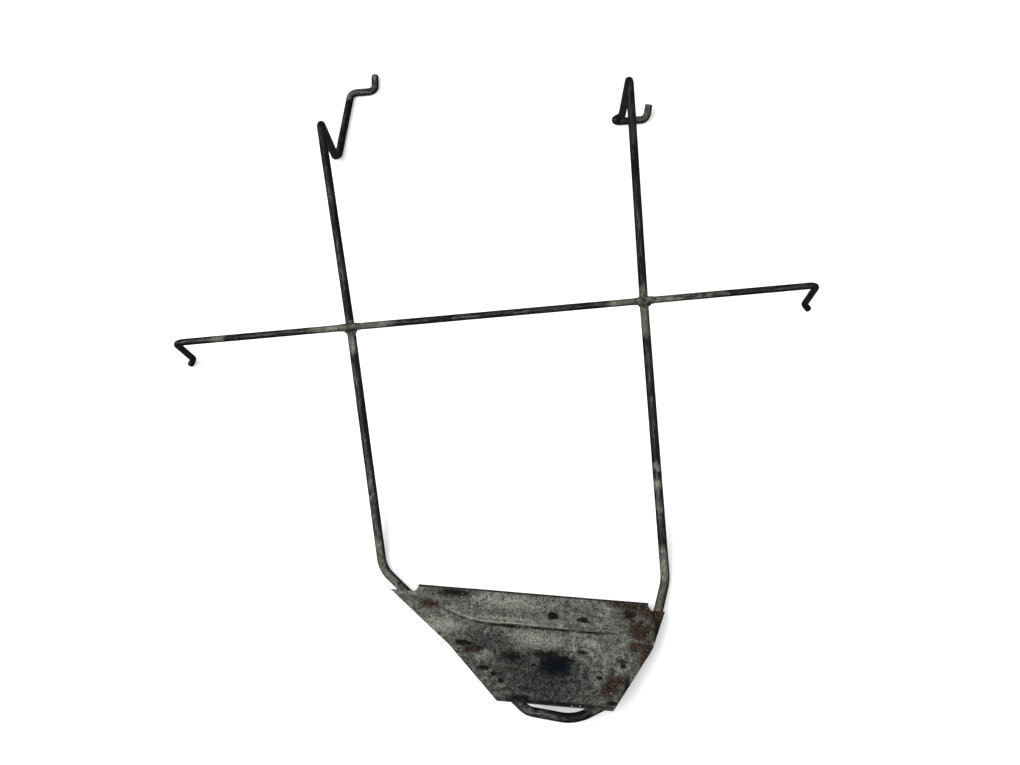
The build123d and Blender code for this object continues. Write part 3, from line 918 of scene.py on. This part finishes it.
# Marks on the sheet, in millimetres: how far across and how far down the middle is, half the
# width and half the height, and then the softness and raggedness of the edge, from 0 to about 1.
DARK_MARKS = [
    (151.3, 35.8, 4.8, 3.9, 0.3, 0.45),
    (176.5, 37.3, 5.0, 2.5, 0.4, 0.6),
    (80.0, 66.6, 9.0, 2.9, 0.4, 0.55),
    (91.0, 70.6, 7.0, 2.9, 0.4, 0.55),
    (99.2, 87.4, 4.2, 2.4, 0.3, 0.4),
    (107.4, 92.0, 2.6, 2.1, 0.3, 0.4),
    (113.8, 97.5, 2.4, 1.9, 0.3, 0.4),
    # the dark middle inside the painted highlight ring round a weld button on the right leg
    (212.2, 75.7, 2.7, 2.5, 0.4, 0.4),
    (222.0, 21.0, 16.0, 3.6, 0.7, 0.6),
    (238.0, 28.0, 7.0, 8.0, 0.7, 0.6),
    (201.0, 97.0, 3.0, 3.4, 0.5, 0.7),
    (226.0, 45.0, 4.0, 4.5, 0.5, 0.8),
    (130.6, 110.6, 9.5, 2.7, 0.4, 0.5),
    (193.0, 87.6, 3.2, 1.2, 0.3, 0.5),
    (205.0, 108.6, 4.4, 2.0, 0.3, 0.6),
    (217.0, 92.5, 3.4, 3.0, 0.4, 0.7),
    (178.0, 66.5, 4.6, 1.8, 0.5, 0.6),
    (66.0, 21.0, 16.0, 4.2, 0.7, 0.45),
    (117.0, 47.8, 12.0, 1.5, 0.6, 0.7),
    (150.0, 71.0, 14.0, 4.0, 0.7, 0.6),
    (121.0, 75.0, 12.0, 5.0, 0.8, 0.8),
    (139.0, 81.5, 2.2, 1.4, 0.3, 0.6),
    (96.0, 111.0, 5.0, 4.5, 0.6, 0.6),
    (45.0, 33.0, 6.5, 2.2, 0.6, 0.9),
    (215.0, 28.0, 6.0, 6.0, 0.6, 0.7),
    (239.0, 40.0, 4.0, 17.0, 0.6, 0.6),
    (231.0, 68.0, 3.6, 15.0, 0.6, 0.6),
    (216.0, 96.0, 2.6, 12.0, 0.5, 0.6),
    (160.0, 113.0, 44.0, 1.8, 0.6, 0.5),
]
RUST_MARKS = [
    (224.0, 41.7, 9.5, 9.0, 0.3, 0.55),
    (222.0, 57.5, 7.0, 5.0, 0.4, 0.6),
    (211.5, 72.0, 4.2, 3.0, 0.4, 0.7),
    (201.5, 96.5, 7.6, 7.8, 0.25, 0.5),
    (123.5, 86.5, 4.2, 1.9, 0.4, 0.9),
    (208.0, 88.5, 7.0, 4.0, 0.6, 0.8),
    (234.0, 24.0, 18.0, 6.5, 0.7, 0.5),
    (206.0, 19.5, 12.0, 3.5, 0.7, 0.6),
    (231.0, 66.0, 6.0, 16.0, 0.7, 0.6),
    (46.0, 33.0, 8.0, 3.5, 0.7, 1.4),
    (86.0, 72.0, 7.0, 3.5, 0.6, 0.9),
]
LIGHT_MARKS = [
    (136.0, 58.5, 20.0, 6.5, 0.7, 0.7),
    (186.0, 57.5, 7.5, 3.0, 0.5, 0.7),
    (96.0, 75.5, 8.0, 5.0, 0.5, 0.7),
    (60.0, 52.0, 16.0, 5.5, 0.7, 0.5),
    (113.0, 42.0, 26.0, 1.6, 0.7, 0.8),
    (116.0, 26.0, 24.0, 5.5, 0.8, 0.6),
    # painted highlight: a light ring round a weld button on the right leg
    (212.2, 75.7, 4.9, 4.6, 0.3, 0.6),
    (103.0, 90.5, 3.0, 2.0, 0.4, 0.8),
    (114.5, 100.8, 3.0, 2.2, 0.4, 0.8),
    (192.0, 93.0, 5.0, 3.0, 0.5, 0.9),
]
STAIN_MARKS = [(157.0, 79.5, 15.0, 10.0, 0.5, 0.5), (163.0, 75.0, 9.0, 4.5, 0.5, 0.4)]
SHADE_MARKS = [(148.0, 93.0, 36.0, 20.0, 0.8, 0.6), (100.0, 62.0, 24.0, 9.0, 0.8, 0.7)]


def marks_mask(tree, spot, marks):
    """The strongest of several marks at each place."""
    total = None
    for across, depth, half_across, half_down, softness, ragged in marks:
        inputs = {
            "Vector": spot,
            "Centre": (across * MM, depth * MM, 0),
            "Spread": (half_across * MM, half_down * MM, 1),
            "Softness": softness,
            "Raggedness": ragged,
        }
        mask = use(tree, "Blot", inputs)["Mask"]
        total = work(tree, "MAXIMUM", total, mask) if total else mask
    return total


def band_line(tree, value, rise, full, hold, fall):
    """A soft line: nothing up to the rise, all of it from full to hold, nothing after the fall."""
    return times(tree, ramp(tree, value, rise, full), ramp(tree, value, hold, fall, 1, 0))


def make_sheet_paint(finish):
    """Worn grey paint on the plate: mottled, stained, darker towards the loop and rusty at the right, with
    painted shade along the band's crease and the lip's fold and a painted highlight along the band's ridge.
    """
    material, tree, shader = new_material("worn_sheet_paint")
    spot = attribute(tree, "sheet")["Vector"]
    parts = put(tree, "ShaderNodeSeparateXYZ", None, {0: spot}).outputs
    flat = put(tree, "ShaderNodeCombineXYZ", None, {0: parts[0], 1: parts[1]}).outputs[0]
    broad = grain(tree, spot, 34, 5, 0.6)
    medium = grain(tree, spot, 190, 5, 0.68)
    fine = grain(tree, spot, 820, 4, 0.75)
    tone = mix(tree, ramp(tree, medium, 0.39, 0.6), finish.sheet_dark, finish.sheet_grey)
    tone = mix(tree, 0.42, tone, finish.sheet_grey)
    patchy = ramp(tree, grain(tree, spot, 75, 4, 0.6), 0.4, 0.62, 0.45, 1)
    pale = times(tree, ramp(tree, fine, 0.5, 0.62, 0, 0.66), patchy)
    tone = mix(tree, pale, tone, finish.sheet_light)
    pits = times(tree, ramp(tree, fine, 0.38, 0.48, 0.7, 0), patchy)
    tone = mix(tree, pits, tone, finish.sheet_dark)
    light = ramp(tree, times(tree, broad, medium), 0.24, 0.42)
    speck = ramp(tree, fine, 0.46, 0.66)
    light = times(tree, light, scaled(tree, speck, 0.7, 0.5))
    tone = mix(tree, light, tone, finish.sheet_light)
    turned = put(tree, "ShaderNodeMapping", None, {"Vector": spot, "Rotation": (0, 0, 0.5)}).outputs[0]
    for vector, stretch in ((spot, (0.1, 1, 1)), (turned, (1, 0.09, 1))):
        scratch = ramp(tree, grain(tree, vector, 1300, 2, 0.5, stretch), 0.6, 0.68, 0, 0.5)
        tone = mix(tree, times(tree, scratch, patchy), tone, finish.sheet_light)
    broken = ramp(tree, fine, 0.38, 0.6, 0.15, 0.85)
    # scuffed patches, and the painted highlight ring round one weld button
    rubbed = times(tree, marks_mask(tree, flat, LIGHT_MARKS), broken)
    tone = mix(tree, rubbed, tone, finish.sheet_light)
    # darker towards the loop, in the stain's colour
    lower = ramp(tree, parts[1], 60 * MM, 84 * MM, 0, 0.5)
    lower = times(tree, lower, ramp(tree, medium, 0.3, 0.62, 1, 0.45))
    tone = mix(tree, lower, tone, finish.stain)
    freckle = ramp(tree, grain(tree, spot, 560, 4, 0.65), 0.54, 0.66, 0, 0.85)
    tone = mix(tree, freckle, tone, finish.sheet_dark)
    broken = ramp(tree, fine, 0.4, 0.62, 0.85, 0.42)
    shade = times(tree, marks_mask(tree, flat, SHADE_MARKS), broken)
    tone = mix(tree, shade, tone, finish.stain)
    stain = times(tree, marks_mask(tree, flat, STAIN_MARKS), 0.97)
    tone = mix(tree, stain, tone, finish.stain)
    edge = attribute(tree, "crease")["Fac"]
    # painted shade: a dark line along the lower edge of the raised band, where its step faces away from the
    # light
    crease_shade = band_line(tree, edge, -2.3 * MM, -1.2 * MM, -0.4 * MM, 0.5 * MM)
    broken = ramp(tree, grain(tree, spot, 170, 4, 0.6, (0.5, 1, 1)), 0.34, 0.54, 0.3, 1)
    reach = band_line(tree, parts[0], 28 * MM, 90 * MM, 188 * MM, 218 * MM)
    crease_shade = times(tree, times(tree, crease_shade, broken), reach)
    # painted highlight: a light line along the top of the band's step
    ridge_highlight = band_line(tree, edge, 0.6 * MM, 1.0 * MM, 1.9 * MM, 2.6 * MM)
    ridge_highlight = times(tree, ridge_highlight, band_line(tree, parts[0], 60 * MM, 74 * MM, 112 * MM, 190 * MM))
    tone = mix(tree, times(tree, ridge_highlight, 0.5), tone, finish.sheet_light)
    # painted shade: the top edge darkens across the lip's fold, where the bend turns away from the light
    lip = ramp(tree, parts[1], 16.9 * MM, 18.6 * MM, 0.93, 0)
    dark = times(tree, marks_mask(tree, flat, DARK_MARKS), 0.97)
    # the dark marks, joined by the painted shade of the crease and the lip, all in the grime colour
    dark = work(tree, "MAXIMUM", work(tree, "MAXIMUM", dark, crease_shade), lip)
    tone = mix(tree, dark, tone, finish.sheet_dark)
    rust = rust_tones(tree, spot, finish)
    rusty = times(tree, marks_mask(tree, flat, RUST_MARKS), ramp(tree, medium, 0.34, 0.5, 0.45, 1))
    scattered = ramp(tree, grain(tree, spot, 120, 6, 0.7), 0.64, 0.7, 0, 0.7)
    rusty = work(tree, "MAXIMUM", rusty, scattered)
    tone = mix(tree, rusty, tone, rust["Color"])
    chips = use(tree, "Chips", {"Vector": spot, "Scale": 300.0, "Amount": 0.2})["Mask"]
    tone = mix(tree, times(tree, chips, 0.8), tone, finish.chip)
    tree.links.new(tone, shader.inputs["Base Color"])
    tree.links.new(scaled(tree, rusty, 0.22, 0.56), shader.inputs["Roughness"])
    shader.inputs["Specular IOR Level"].default_value = 0.045
    heights = [(medium, 0.00016), (fine, 0.00006), (chips, -0.0001)]
    lay_bump(tree, shader, heights + [(rust["Height"], 0.0001), (dark, -0.00012)])
    return material


def make_weld_metal(finish):
    """Dull grey-brown weld metal, thinly painted over."""
    material, tree, shader = new_material("worn_weld_metal")
    spot = put(tree, "ShaderNodeTexCoord").outputs["Object"]
    medium = grain(tree, spot, 320, 5, 0.6)
    fine = grain(tree, spot, 1300, 4, 0.6)
    tone = mix(tree, ramp(tree, medium, 0.36, 0.62), finish.sheet_dark, finish.weld)
    tone = mix(tree, ramp(tree, fine, 0.56, 0.7, 0, 0.4), tone, finish.bare_light)
    rust = rust_tones(tree, spot, finish)
    tone = mix(tree, ramp(tree, grain(tree, spot, 210, 5, 0.6), 0.55, 0.62, 0, 0.8), tone, rust["Color"])
    tree.links.new(tone, shader.inputs["Base Color"])
    tree.links.new(ramp(tree, medium, 0.3, 0.7, 0.5, 0.72), shader.inputs["Roughness"])
    shader.inputs["Specular IOR Level"].default_value = 0.15
    lay_bump(tree, shader, [(medium, 0.0002), (fine, 0.00006)])
    return material


FINISHES = {
    "worn_bar_paint": make_bar_paint,
    "worn_sheet_paint": make_sheet_paint,
    "worn_weld_metal": make_weld_metal,
}
GROUPS = {
    "Blot": build_blot_group,
    "Chips": build_chip_group,
    "Scuff": build_scuff_group,
    "Rust tones": build_rust_group,
}


def finish_named(name):
    """One of the carrier's finishes, made with its groups the first time it is asked for."""
    for group, build in GROUPS.items():
        if group not in bpy.data.node_groups:
            build()
    return bpy.data.materials.get(name) or FINISHES[name](bpy.context.scene.carrier_finish)


# ---- operators -------------------------------------------------------------------------------


class CARRIER_OT_stage(bpy.types.Operator):
    """Lay the pale floor and set the soft lights and the camera"""

    bl_idname = "carrier.stage"
    bl_label = "Stage"

    def execute(self, context):
        stage = context.scene.carrier_stage
        make_floor(stage)
        make_lights(stage)
        make_camera(stage)
        return {"FINISHED"}


class CARRIER_OT_main_bar(bpy.types.Operator):
    """Bend the long bar with its tail loop and hinge hooks"""

    bl_idname = "carrier.main_bar"
    bl_label = "Main bar"

    def execute(self, context):
        bar, tail = context.scene.carrier_main_bar, context.scene.carrier_tail
        shape = Shape(context.scene)
        hook, head = bar.hook_bend_radius, bar.head_bend_radius
        left = [hook, hook, hook, hook, head, bar.bow_radius, bar.tail_bend_radius]
        loop = [tail.corner_radius, tail.middle_radius, tail.corner_radius, tail.knee_radius]
        heel, foot = bar.right_heel_radius, bar.right_foot_radius
        right = [bar.tail_bend_radius, bar.bow_radius, head, heel, foot, hook]
        points = shape.main_bar_points(bar)
        piece = make_bar("long_bar", points, left + loop + right, bar.diameter / 2, main_bar_spots(shape))
        seat(piece, ["main_rod"], finish_named("worn_bar_paint"))
        return {"FINISHED"}


class CARRIER_OT_cross_bar(bpy.types.Operator):
    """Bend the cross bar with its turned-down ends"""

    bl_idname = "carrier.cross_bar"
    bl_label = "Cross bar"

    def execute(self, context):
        scene = context.scene
        cross = scene.carrier_cross_bar
        shape = Shape(scene)
        points = shape.cross_bar_points(cross, scene.carrier_main_bar)
        radii = [cross.tip_radius, cross.arm_radius, cross.arm_radius, cross.tip_radius]
        piece = make_bar("top_bar", points, radii, cross.diameter / 2, cross_bar_spots(shape), segments=24)
        seat(piece, ["cross_rod"], finish_named("worn_bar_paint"))
        return {"FINISHED"}


class CARRIER_OT_plate(bpy.types.Operator):
    """Press the plate with its raised band and folded lip"""

    bl_idname = "carrier.plate"
    bl_label = "Plate"

    def execute(self, context):
        scene = context.scene
        piece = make_plate(scene.carrier_plate, Shape(scene), scene.carrier_main_bar)
        seat(piece, ["plate"], finish_named("worn_sheet_paint"))
        return {"FINISHED"}


class CARRIER_OT_cross_welds(bpy.types.Operator):
    """Flow weld metal into both crossings"""

    bl_idname = "carrier.cross_welds"
    bl_label = "Crossing welds"

    def execute(self, context):
        scene = context.scene
        shape = Shape(scene)
        sides = {
            "left": (shape.left_crossing, shape.left_head - shape.left_bend, 1.0),
            "right": (shape.right_crossing, shape.right_head - shape.right_bend, 2.0),
        }
        for side, (crossing, run, seed) in sides.items():
            settings = (scene.carrier_weld, scene.carrier_main_bar, scene.carrier_cross_bar)
            name = f"{side}_crossing_bead"
            piece = make_cross_weld(name, crossing, run.normalized(), shape, *settings, seed)
            seat(piece, [f"{side}_cross_weld"], finish_named("worn_weld_metal"))
        return {"FINISHED"}


class CARRIER_OT_plug_welds(bpy.types.Operator):
    """Drop the weld buttons through the plate onto the legs"""

    bl_idname = "carrier.plug_welds"
    bl_label = "Plug welds"

    def execute(self, context):
        scene = context.scene
        shape = Shape(scene)
        rows = {
            "left": (shape.left_leg, (33.0, 68.5, 90.0), (0.8, 0.85, 0.8)),
            "right": (shape.right_leg, (41.5, 58.5, 76.0, 97.0), (1.1, 0.9, 0.95, 1.2)),
        }
        for side, (leg, depths, widths) in rows.items():
            depths = [depth * MM for depth in depths]
            settings = (scene.carrier_weld, scene.carrier_plate, scene.carrier_main_bar)
            piece = make_plug_welds(f"{side}_weld_buttons", leg, depths, widths, shape, *settings)
            seat(piece, [f"{side}_plug_welds"], finish_named("worn_sheet_paint"))
        return {"FINISHED"}


# ---- stage -----------------------------------------------------------------------------------


def make_floor(stage):
    """A wide pale floor just under the carrier."""
    bm = bmesh.new()
    under = Matrix.Translation((0, 0, -FLOOR_GAP))
    bmesh.ops.create_grid(bm, x_segments=1, y_segments=1, size=FLOOR_HALF, matrix=under)
    floor = finish_mesh(bm, "floor")
    material, tree, shader = new_material("pale_floor")
    seen = put(tree, "ShaderNodeLightPath").outputs["Is Camera Ray"]
    tone = mix(tree, seen, stage.floor_dim, stage.floor_tone)
    tree.links.new(tone, shader.inputs["Base Color"])
    glow = mix(tree, seen, (0, 0, 0), stage.floor_tone)
    tree.links.new(glow, shader.inputs["Emission Color"])
    shader.inputs["Emission Strength"].default_value = 0.3
    shader.inputs["Roughness"].default_value = 0.9
    shader.inputs["Specular IOR Level"].default_value = 0.1
    floor.data.materials.append(material)


def make_light(name, spot, extent, power):
    """A soft square light that faces the carrier."""
    data = bpy.data.lights.new(name, "AREA")
    data.size = extent
    data.energy = power
    light = bpy.data.objects.new(name, data)
    light.location = spot
    light.rotation_euler = (-Vector(spot)).to_track_quat("-Z", "Y").to_euler()
    bpy.context.scene.collection.objects.link(light)


def make_lights(stage):
    """A broad light over the left shoulder, a weaker one from the right and a white sky."""
    make_light("key_light", (-1.1, -0.7, 1.9), 1.6, stage.key_power)
    make_light("fill_light", (1.5, -0.2, 1.4), 1.4, stage.fill_power)
    world = bpy.data.worlds.new("studio")
    world.use_nodes = True
    world.node_tree.nodes["Background"].inputs["Color"].default_value = (1, 1, 1, 1)
    world.node_tree.nodes["Background"].inputs["Strength"].default_value = stage.sky
    bpy.context.scene.world = world


def make_camera(stage):
    """The camera: above the tail, looking down at the carrier."""
    data = bpy.data.cameras.new("camera")
    data.lens = stage.lens
    data.shift_x = -stage.centring
    data.shift_y = -stage.centring
    camera = bpy.data.objects.new("camera", data)
    forward = (Vector(stage.camera_target) - Vector(stage.camera_place)).normalized()
    right = forward.cross(Vector((0, 0, 1))).normalized()
    facing = Matrix((right, right.cross(forward), -forward)).transposed().to_4x4()
    facing = facing @ Matrix.Rotation(stage.roll, 4, "Z")
    camera.matrix_world = Matrix.Translation(stage.camera_place) @ facing
    bpy.context.scene.collection.objects.link(camera)
    bpy.context.scene.camera = camera
    bpy.context.scene.view_settings.view_transform = "Standard"


# ---- panel and registration ------------------------------------------------------------------


class CARRIER_PT_panel(bpy.types.Panel):
    """Lists the carrier's pieces"""

    bl_idname = "CARRIER_PT_panel"
    bl_label = "Wheel carrier"
    bl_space_type = "VIEW_3D"
    bl_region_type = "UI"
    bl_category = "Carrier"

    def draw(self, context):
        for operator in OPERATORS:
            self.layout.operator(operator.bl_idname)


SETTINGS = {
    "carrier_main_bar": MainBarSettings,
    "carrier_tail": TailSettings,
    "carrier_cross_bar": CrossBarSettings,
    "carrier_plate": PlateSettings,
    "carrier_weld": WeldSettings,
    "carrier_finish": FinishSettings,
    "carrier_stage": StageSettings,
}
OPERATORS = [
    CARRIER_OT_stage,
    CARRIER_OT_main_bar,
    CARRIER_OT_cross_bar,
    CARRIER_OT_plate,
    CARRIER_OT_cross_welds,
    CARRIER_OT_plug_welds,
]


def register():
    """Adds the settings, the operators and the panel."""
    for name, settings in SETTINGS.items():
        bpy.utils.register_class(settings)
        setattr(bpy.types.Scene, name, PointerProperty(type=settings))
    for operator in OPERATORS:
        bpy.utils.register_class(operator)
    bpy.utils.register_class(CARRIER_PT_panel)


def unregister():
    """Takes the panel, the operators and the settings away again."""
    bpy.utils.unregister_class(CARRIER_PT_panel)
    for operator in reversed(OPERATORS):
        bpy.utils.unregister_class(operator)
    for name, settings in SETTINGS.items():
        delattr(bpy.types.Scene, name)
        bpy.utils.unregister_class(settings)


def main():
    """Builds the whole carrier."""
    register()
    bpy.ops.carrier.stage()
    bpy.ops.carrier.main_bar()
    bpy.ops.carrier.cross_bar()
    bpy.ops.carrier.plate()
    bpy.ops.carrier.cross_welds()
    bpy.ops.carrier.plug_welds()


if __name__ == "__main__":
    main()
